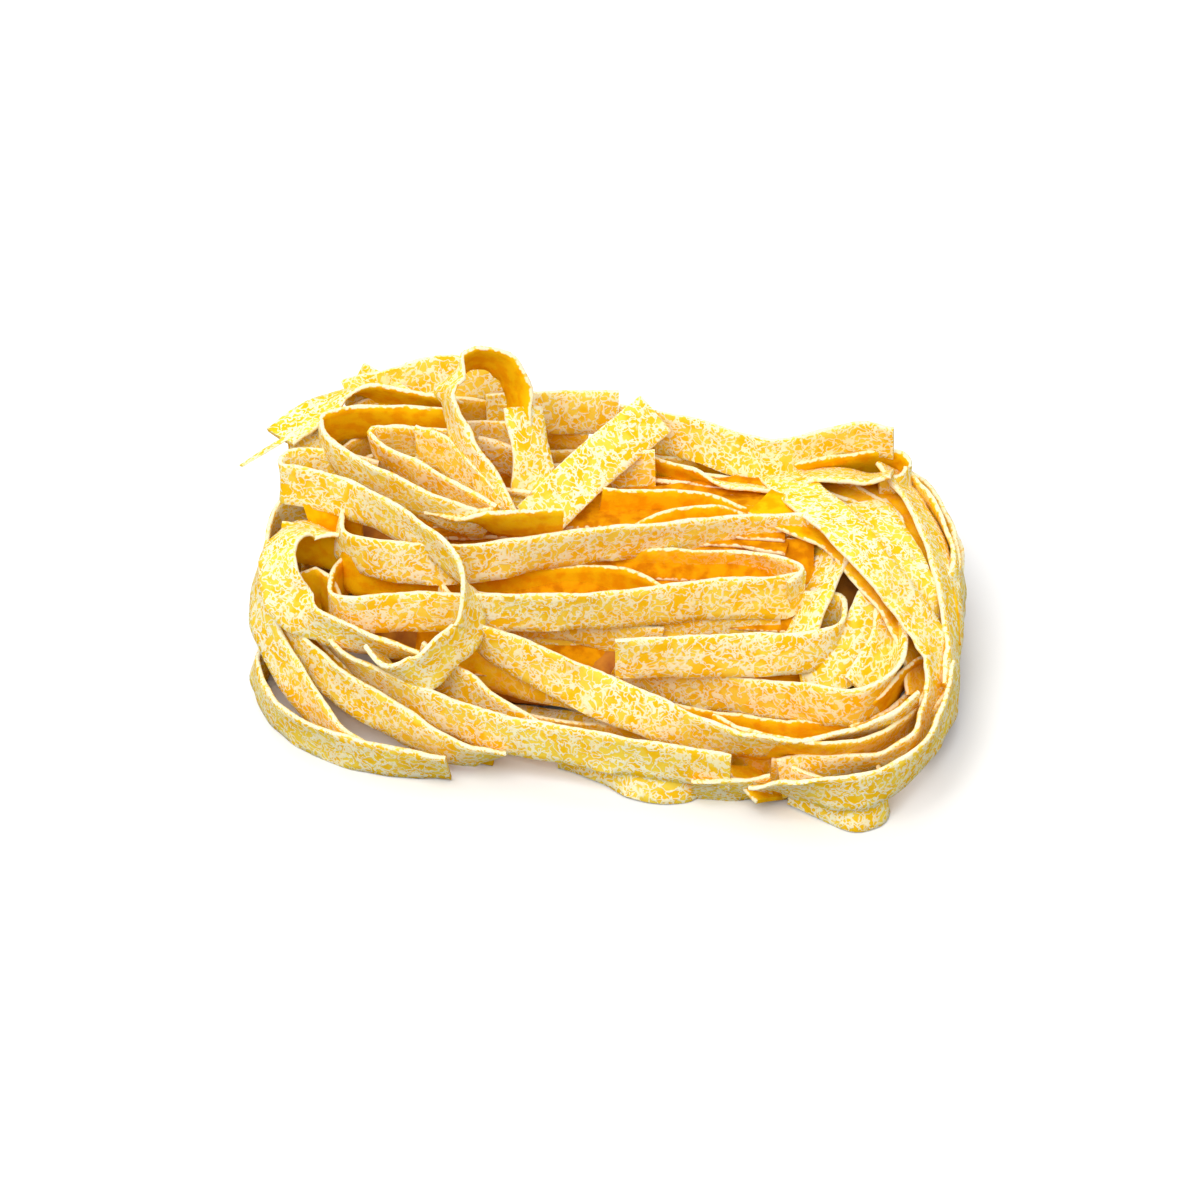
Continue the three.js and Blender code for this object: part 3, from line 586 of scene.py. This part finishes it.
# ---------------------------------------------------------------- ribbons of the left end
# Loops that sprang open as the dough dried: they bow out round the left end and come down to
# the tray in front, one of them ending there in a square cut.
left_end = lay_ribbons("ribbons_left", 31, [
    dict(route=[(-43.5, 18.5, 4.5, -10), (-46.5, 5, 3.4, -20), (-46.5, 0.5, 3.3, -5),
        (-44.5, -5.5, 3.3, 5), (-40.5, -10.5, 3.3, 10), (-31, -16, 3.3, 10),
        (-20, -18.5, 3.3, 25)], flour=(1, 0.3)),
    dict(route=[(-33.5, 13.5, 23, -5), (-38, 13.8, 23.2, -5), (-43, 13, 21, -15),
        (-45.5, 9, 17, -20), (-46, 4, 13.5, -20), (-44, -1, 10.5, -15), (-40.5, -6, 7.3, -10),
        (-37.2, -9.8, 4.9, 0), (-34.5, -12.7, 3.2, 8), (-30.5, -15.3, 1.8, 12)], flour=(1, 0.6)),
    dict(route=[(-41, 11.5, 15, -20), (-44, 7, 13.5, -20), (-43.5, 1.5, 11.8, -15),
        (-39.5, -3.5, 10.5, 0), (-34, -9, 9, -3), (-28, -12.5, 7.2, 0), (-21, -16.3, 5, 12),
        (-16.5, -17.2, 4.2, 33), (-13.5, -16.3, 3.6, 45)], flour=(1, 0.3)),
    dict(route=[(-41, 4, 9.5, 0), (-37, -1.5, 7.5, 0), (-31.5, -7, 5.5, 0), (-24, -11, 4, 0),
        (-14, -14, 3.25, 0)], flour=(0.1, 0.1)),
    dict(route=[(-35.2, 7.2, 22.3, -50), (-39.2, 7.2, 23.4, -75), (-41.7, 5, 23.8, -62),
        (-42.8, 3, 23, -55), (-42.8, 0.3, 22.3, -48), (-42, -1.8, 20.2, -42),
        (-40.3, -3, 17.8, -28), (-37, -5, 16.5, 10), (-23.5, -9, 14.5, 40)], flour=(1, 0.2)),
    dict(route=[(-43, 9, 20.2, 0), (-39, 8.5, 19.7, 0), (-35, 7.5, 19, 0), (-31, 6, 18, 0)],
        flour=(0.05, 0.1)),
    dict(route=[(-39.5, 3, 14.2, 0), (-37.4, 3, 17, 5), (-35.6, 1, 15.5, 0),
        (-34.5, -2.5, 13.5, 0)], flour=(0.1, 0.2)),
    dict(route=[(-39, 10.2, 22.3, 0), (-36, 9.6, 23, 0), (-32, 9, 23.2, 0)], flour=(0.05, 0.1)),
])
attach(left_end, "root")
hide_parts("pasta_nest")

# ---------------------------------------------------------------- the curl
# One broad ribbon that comes round the left shoulder, dips into the nest and rolls under
# itself in a curl.
curl = lay_ribbons("ribbon_curl", 41, [
    dict(route=[(-30.5, 15, 26, 0), (-36.5, 15, 27.5, 0), (-41, 14, 28.3, 0),
        (-42.5, 11, 28.5, 0), (-39.5, 10.5, 28, 0), (-34, 8, 27.9, -2), (-28, 4, 27.8, 5),
        (-22.5, -0.5, 27, 10), (-19.5, -3.5, 26, 10), (-17, -7, 23, 35), (-17.5, -9.5, 19, 5),
        (-20, -11.3, 17.6, 0), (-23.5, -12.5, 14.6, -5), (-27.5, -11.3, 14, -40),
        (-29.8, -8.5, 14.8, -40)], flour=(0.8, 1)),
])
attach(curl, "root")
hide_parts("pasta_nest")

# ---------------------------------------------------------------- ribbons of the front
# Long turns along the low front, some of them cut off square, with a wave that bulges down to
# the tray and two short ends caught under it.
front = lay_ribbons("ribbons_front", 51, [
    dict(route=[(-38, -0.5, 13, 10), (-34.5, -5, 11.5, 25), (-30.5, -8, 10, 10),
        (-20, -14, 8.6, 0), (-12.5, -17, 7.8, 0), (-5, -18.5, 7.4, 0), (17, -23.5, 6.8, 5)],
        flour=(1, 0.3)),
    dict(route=[(-5.5, -14.5, 3.3, 0), (-0.5, -16.5, 3.3, -8), (4.5, -20, 3.3, -15),
        (9.5, -21.1, 3.2, -15), (12, -20.2, 3.2, -15), (12.5, -17, 3.5, -10),
        (9.5, -14.5, 4, 0)], flour=(1, 0.3)),
    dict(route=[(-21.5, 0, 17, 0), (-16.5, -6, 15.5, 15), (-10, -9, 14, -5), (0, -14, 12, -20),
        (7.4, -17.3, 10.8, -12), (13, -19.5, 10, 8), (19.5, -21, 9.6, 25), (26, -21, 9.6, 40),
        (37.5, -18, 10.5, 30), (41.5, -15, 11.5, 20)], flour=(0.55, 0.3), flour_end=(1, 0.3)),
    dict(route=[(-19, -4, 10.7, 0), (-13.7, -6.3, 9.5, 0), (-7.2, -9.5, 10.2, 0),
        (-2.4, -11.8, 10.9, 0), (2.6, -14, 10.4, 0), (8, -16.5, 9.2, 5)],
        flour=(0.1, 0.3), flour_end=(1, 0.3)),
    dict(route=[(-24, -5.5, 11.5, 0), (-20.3, -8.5, 10.4, 0), (-17, -10.5, 9.5, 0),
        (-13.7, -13, 8.3, 5), (-8, -15.5, 6, 10)], flour=(0.9, 0.3)),
    dict(route=[(12, -22, 3, 30), (18.5, -22.3, 3, 28), (22.5, -22.3, 3.4, 22)],
        flour=(0.7, 0.3)),
    dict(route=[(18.5, -17.5, 2.6, 60), (20.8, -20.7, 2, 65), (22.6, -22.9, 1.7, 65)],
        flour=(0.1, 0.1)),
])
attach(front, "root")
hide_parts("pasta_nest")

# ---------------------------------------------------------------- ribbons of the middle
# Nearly straight runs through the middle of the nest, folded back on themselves at their ends.
# Where a run twists, its smooth rolled side shows.
middle = lay_ribbons("ribbons_middle", 61, [
    dict(route=[(-33.5, 11, 23, -5), (-35, 7, 22.8, -10), (-33.5, 3.5, 22.8, 8),
        (-30.2, 1.3, 23, 0), (-24, 0.2, 23, -6), (-16.4, 0, 23.3, 0), (-8, 1.2, 24, 8),
        (0, 3, 24.1, 10), (8, 4.8, 23.6, 12), (18.5, 7, 23.1, 12), (27, 8, 22.4, 10),
        (32, 8.5, 21.4, 10)], flour=(1, 0.3)),
    dict(route=[(0, 5, 18.6, 0), (7, 4.8, 18.9, 8), (13.3, 4.3, 19.2, 8), (19.3, 4, 19.3, 8),
        (23.2, 2.5, 19.9, 10), (26.8, -1, 20.1, 0), (25, -3, 19.6, -4)],
        flour=(0.05, 0.8), flour_end=(0.5, 0.8)),
    dict(route=[(-35, 6, 19.5, 0), (-33, 3, 19, 0), (-20, 2.4, 18.2, 0), (-8, 2.6, 17.4, 0),
        (-0.5, 2.3, 17.8, 0), (3.2, 1.5, 18.2, 5), (6.1, 0.3, 18.1, 12), (9, -1, 17.7, 20),
        (13, -2.3, 16.5, 25)], flour=(0.05, 0.3)),
    dict(route=[(-31, 9, 17, 0), (-34.5, 4.5, 17.4, 0), (-35.8, -1, 17.7, 0),
        (-34.8, -3.8, 18, 5), (-32.5, -5.2, 18.6, 5), (-26.5, -5.5, 19.2, 0), (0, -5, 19.2, 5),
        (17, -3, 19.6, -5), (24.5, -2.5, 19.6, -10), (27, -1, 19.6, 0)], flour=(1, 0.1)),
    dict(route=[(2, -10.5, 15.5, 0), (19.5, -10, 15.6, -10), (27, -9.5, 15.6, -5),
        (31.5, -7, 15.6, 0), (32, -2, 16, 0), (28, -1.5, 16.2, 0), (22, -1.2, 16.4, 0),
        (13, -1, 16.4, 0)], flour=(1, 1)),
    dict(route=[(-17.5, -2, 17, 0), (-9.8, -3.5, 16.7, 0), (-5.2, -3.5, 16.4, 0),
        (-0.7, -3.6, 14.9, 0), (3.5, -3.8, 13, 0), (8, -3.8, 12.2, 0)],
        flour=(0.3, 0.3), flour_end=(0.7, 0.3)),
    dict(route=[(-21.5, -1.5, 14, 0), (-8, -3, 14, 0), (10, -3, 14, 0), (24, -3, 14.2, 0)],
        flour=(0.8, 0.3)),
    dict(route=[(33, 7, 21.5, -60), (30, 2, 20, -60), (27.3, -3, 17, -60), (26, -6, 15, -60)],
        flour=(1, 0.6)),
    dict(route=[(29.5, 7, 20.5, -55), (28, 2, 18.5, -55), (26.5, -2, 16.5, -55)], flour=(1, 0.6)),
])
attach(middle, "root")
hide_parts("pasta_nest")

# ---------------------------------------------------------------- inner bands of the right end
# Turns that round the lower right corner inside the outer ones, nested like the walls of a
# basket, and short runs that drop into the nest behind them.
right_inner = lay_ribbons("ribbons_right_inner", 71, [
    dict(route=[(2.5, -6.5, 12, 0), (7.6, -8, 9.9, 0), (14.4, -9.3, 9, 0),
        (18.7, -10.2, 8.6, 0), (23.3, -11.8, 9.2, 0), (26.7, -13, 10, 0), (30, -14.5, 10.6, 0),
        (33.3, -15, 10.8, 3), (36, -14, 11.4, 8), (37.9, -12, 12.2, 15), (39, -9, 13, 20),
        (39, -6, 14, 22), (38.4, -3, 14.8, 25), (37.5, 0, 16, 25)], flour=(0.9, 0.7)),
    dict(route=[(3, -10, 6.2, 0), (7.6, -11, 5.6, 0), (14, -12, 4.6, 0), (18, -12, 4, 0),
        (25.7, -13.3, 3.8, 0), (32, -14.3, 5.5, 3), (36, -13.5, 8, 5), (38.7, -11, 10, 10),
        (40.7, -8, 10.3, 15), (42.3, -5.5, 9.5, 20), (43, -3, 9, 20)], flour=(0.1, 0.05)),
    dict(route=[(44.5, -6.5, 8.2, 0), (43.3, -10.5, 8.2, 0), (41.6, -14, 7.9, -5),
        (39, -17.3, 7.9, -11), (35.9, -20, 8.2, -15), (32.6, -21.5, 8.4, -18),
        (29.4, -21.8, 8.6, -25), (26.1, -21.5, 9, -28), (22.8, -20.8, 8.9, -25),
        (19, -19.3, 8.4, -15), (15, -17, 8.2, -5)], flour=(0.5, 0.5), flour_end=(0.1, 0.05)),
    dict(route=[(43, -9.5, 4.5, 0), (41, -13.5, 4.3, 0), (38, -17, 3.8, -5),
        (34, -19.8, 3.4, -8), (28.5, -20.6, 3.3, -8), (22.5, -20, 3.3, -8)], flour=(0.45, 0.45)),
    dict(route=[(39, 4, 20, 48), (38, 0, 18.9, 48), (36.8, -2.5, 18.2, 48),
        (35.4, -5, 16.2, 48), (33, -8, 13.8, 45), (30, -9.5, 12.3, 35), (26.5, -9.3, 11.3, 20)],
        flour=(0.5, 0.8)),
    dict(route=[(38.8, -3, 16.5, 40), (37.8, -7, 14, 40), (36.3, -9.5, 12.6, 38),
        (34.5, -12, 11, 35)], flour=(0.5, 0.7)),
])
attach(right_inner, "root")
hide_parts("pasta_nest")

# ---------------------------------------------------------------- outer bands of the right end
# The last turns of the winding: they lie flat over the top, roll over the right end on edge
# and run back along the tray, with the loop that bulges out at the corner.
right_outer = lay_ribbons("ribbons_right_outer", 81, [
    dict(route=[(24, 23.5, 21.5, 90), (27, 15, 24, 90), (32, 5, 25.5, 85), (37, -1, 23, 80),
        (39.5, -3, 20.6, 85), (41.5, -4.5, 18.3, 85), (43.5, -6.5, 15.8, 70),
        (44.5, -9, 13.3, 40), (44, -12.5, 11, 15), (42.5, -16.5, 9.4, 5), (40.5, -20, 8, -15),
        (36.5, -21, 6.6, -30), (23.5, -22, 4.6, 5)], flour=(0.3, 1)),
    dict(route=[(36, 15.5, 21.6, 85), (38.5, 9, 21.5, 80), (41.5, 2, 19.4, 75),
        (43, -4.5, 14.5, 60)], flour=(0.3, 1)),
    dict(route=[(40, 23.5, 21.3, 50), (44.3, 13, 19.8, 45), (46.8, 2, 15.8, 38),
        (47, -6, 11.4, 15), (46, -10.5, 9.3, 5)], flour=(0.3, 1)),
    dict(route=[(21.5, 12, 24.3, 90), (27.3, 8.5, 23.3, 88), (32.5, 6, 22, 85),
        (36.5, 0, 20.3, 75), (39, -2.5, 17.5, 70), (41, -4.8, 14, 60), (42.2, -7.2, 11, 50),
        (42.6, -9.5, 8.5, 45)], flour=(0.3, 0.05), flour_end=(0.3, 0.25)),
    dict(route=[(14, 27, 16.5, 5), (30, 29, 18.5, 5), (39, 28, 19, 10), (44.5, 21, 17.5, 10),
        (48.5, 10.5, 14.8, 15), (48, 6, 14, 15), (44.5, 2.5, 13, 15)], flour=(0.3, 1)),
    dict(route=[(20, 30, 12, 5), (36, 31.5, 14, 5), (45, 27, 14.5, 10), (49, 12.5, 13.3, 10),
        (48.5, 7.5, 12.8, 10), (45, 4.5, 12.3, 10)], flour=(0.3, 1)),
    dict(route=[(32, 32, 9, 5), (45, 29, 11, 5), (49, 19, 11, 5), (49, 8, 10.3, 5),
        (47, 2.5, 10, 5), (43.5, -1, 9.5, 5)], flour=(0.3, 1)),
    dict(route=[(48, 15, 7, 5), (47.5, -6.5, 7, 5), (45.5, -12, 7, 5), (42, -16.5, 6.5, 0)],
        flour=(0.3, 1)),
    dict(route=[(47, -7.5, 9.5, 5), (46, -13, 9.5, 5), (41.5, -23, 8.6, -10),
        (35.5, -27.2, 7.4, -5), (30.5, -27.3, 6.7, -10), (25, -25.6, 5.8, -33),
        (20.5, -24, 4.8, -55)], flour=(0.3, 1)),
    dict(route=[(25, -22, 3.5, 0), (31, -25.4, 3.2, -12), (33.5, -26.6, 3.2, -15),
        (36, -25.7, 3.2, -15), (37.2, -23.7, 3.3, -10), (36.5, -21.5, 3.3, 0)], flour=(1, 0.3)),
    dict(route=[(28, 19.5, 20.3, 85), (34, 19.5, 20.6, 88), (40, 15.5, 20, 88),
        (44.5, 3, 16.5, 75), (45.5, -4, 13, 60)], flour=(0.1, 0.15)),
])
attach(right_outer, "root")
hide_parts("pasta_nest")

# ---------------------------------------------------------------- ribbons of the left shoulder
# Hairpins and crossing ribbons piled on the left shoulder, among them a pointed cut end and a
# thin sliver that split off an edge.
shoulder = lay_ribbons("ribbons_shoulder", 101, [
    dict(route=[(-19.5, 20, 31.2, -10), (-34.5, 19.5, 32, -15), (-37.4, 17.5, 31.5, 0),
        (-35, 12.5, 31, 12), (-26, 6, 30.1, 12), (-21.5, 3.8, 29, 18), (-17.5, 3.8, 27.2, 25),
        (-14.5, 5.4, 26, 20)], flour=(1, 0.05)),
    dict(route=[(-22, 6.5, 26.5, 52), (-18, 4.6, 26.9, 50), (-13.5, 3.4, 27.2, 28),
        (-9.2, 3, 27.2, 17), (-4.9, 3, 27.1, 12)], flour=(0.1, 0.6)),
    dict(route=[(-19, 17.5, 29.5, -10), (-28.5, 18, 30, -15), (-30.5, 16.5, 30, 10),
        (-28.5, 14.5, 29.5, 20), (-24, 11, 29, 10), (-13.5, 5, 27, 20)], flour=(1, 0.6)),
    dict(route=[(-24.5, 16.5, 30.5, 0), (-20.5, 13.8, 30.7, 0), (-18, 11, 29.8, 0),
        (-14.5, 7, 28, 0)], flour=(0.9, 0.4)),
    dict(route=[(-19.5, 22.5, 31.6, -25), (-22, 22.5, 32.6, -28), (-25.5, 22.5, 33.4, -26),
        (-30, 24, 33.6, -30), (-34.5, 24.5, 33.5, -60), (-38.5, 21.3, 32.5, -80),
        (-43, 17.5, 31, -80)], flour=(1, 0.05)),
    dict(route=[(-33.5, 28, 32.5, -35), (-25, 22, 31, -30)], flour=(0.5, 0.3)),
    dict(route=[(-34, 27.5, 30, -10), (-29.5, 26, 32.5, -10), (-20.5, 27.5, 34, -15),
        (-13, 27.5, 31, 0)], flour=(1, 0.3)),
    dict(route=[(-42, 17.5, 29.5, -30), (-37.5, 18.5, 29.5, -35)], flour=(0.8, 0.3)),
    dict(route=[(-8, 22.5, 27, 20), (-13, 21, 28, 0), (-21.5, 20.5, 28.5, 0)], flour=(0.4, 0.8)),
    dict(route=[(-41.5, 17.5, 31.5, -70), (-44.5, 15, 31, -70), (-48, 12.5, 30, -60)],
        flour=(0.8, 0.8), width=FRAY_WIDTH),
    dict(route=[(-16.5, 16, 29.5, 10), (-12, 15, 29, 15), (-7, 14, 28.5, 15)], flour=(0.8, 0.3)),
    dict(route=[(-16, 9.5, 27, 15), (-12.5, 9.3, 26.6, 20), (-9.5, 9, 26.2, 20)],
        flour=(0.6, 0.3)),
])
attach(shoulder, "root")
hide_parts("pasta_nest")

# ---------------------------------------------------------------- the standing loop
# One ribbon that dried standing up out of the nest in a tall narrow loop, and the ribbon that
# leans on its right side.
standing_loop = lay_ribbons("ribbon_standing_loop", 121, [
    dict(route=[(-12.6, 5.2, 26.5, 58), (-13.7, 5.6, 28.5, 58), (-15.3, 8, 31, 57),
        (-18.3, 11.5, 34.5, 48), (-19.7, 14, 37.2, 32), (-20.3, 16, 39.4, 18),
        (-19.5, 18.5, 40.4, -15), (-17.9, 20.5, 41.5, -50), (-16, 21, 41.7, -60),
        (-13.3, 20.5, 41, -65), (-11.4, 19.5, 38.7, -45), (-11, 18.5, 36, -30),
        (-11, 17, 32.5, -30)], flour=(0.75, 0.03), up=BACKWARD),
    dict(route=[(-10.3, 17, 36.4, 62), (-9.6, 14.6, 34.1, 60), (-8.9, 12, 31.4, 60),
        (-8.8, 9.5, 28.2, 66), (-9.2, 8, 25.5, 66)], flour=(0.3, 1)),
])
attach(standing_loop, "root")
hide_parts("pasta_nest")

# ---------------------------------------------------------------- ribbons of the back rim
# A wavy ribbon along the top of the back, those that hang under it, and the cut ends and flat
# runs that lie over the middle.
rim = lay_ribbons("ribbons_rim", 131, [
    dict(route=[(2.5, 27.5, 26, -5), (13.5, 24.5, 25.5, -10), (19, 22, 25, -15),
        (24, 21, 25, -5), (28, 22, 25.5, 10), (35.5, 23.5, 26.5, 10), (40, 22.5, 26.5, 15)],
        flour=(1, 0.3)),
    dict(route=[(5.5, 24, 21, 10), (12, 21, 21.3, 15), (19, 18.7, 22.2, 60), (24, 19, 21.7, 67),
        (28.7, 19.5, 23.2, 67), (33.3, 19.5, 23.2, 67), (36.7, 19, 23, 65), (39.8, 19, 24, 60)],
        flour=(0.05, 1)),
    dict(route=[(5.5, 30, 18, 20), (12, 26.8, 19.2, 20), (20.5, 22.5, 20.3, 20),
        (38.5, 24.5, 21.6, 20), (41.5, 24, 21.2, 15), (42.5, 22.5, 20.3, 10), (41, 20, 20, 0),
        (38, 19, 20, 0)], flour=(0.05, 0.8)),
    dict(route=[(-1, 18.5, 24.3, -5), (7.5, 19, 24.5, -5)], flour=(0.8, 0.4)),
    dict(route=[(0, 12, 23.7, 5), (5.3, 12.5, 23, 5), (12, 13, 22.3, 5), (15.4, 13, 21.3, 5),
        (19.7, 12.5, 19.8, 5), (24, 12, 18.5, 5)], flour=(0.05, 0.3)),
    dict(route=[(4, 9, 18.8, 5), (8.7, 9.5, 21.4, 5), (13.6, 9.5, 22.5, 5), (17, 10, 21.4, 5),
        (20.5, 10, 20, 5)], flour=(0.05, 0.3)),
    dict(route=[(7.5, 24.5, 30, 50), (-2, 13.5, 28, 50), (-9, 4.8, 25.8, 50)], flour=(0.3, 1)),
    dict(route=[(-15.5, 25.5, 29, -10), (-11.5, 26, 29, -10), (2.5, 27, 28.5, -10)],
        flour=(1, 0.3)),
])
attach(rim, "root")
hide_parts("pasta_nest")
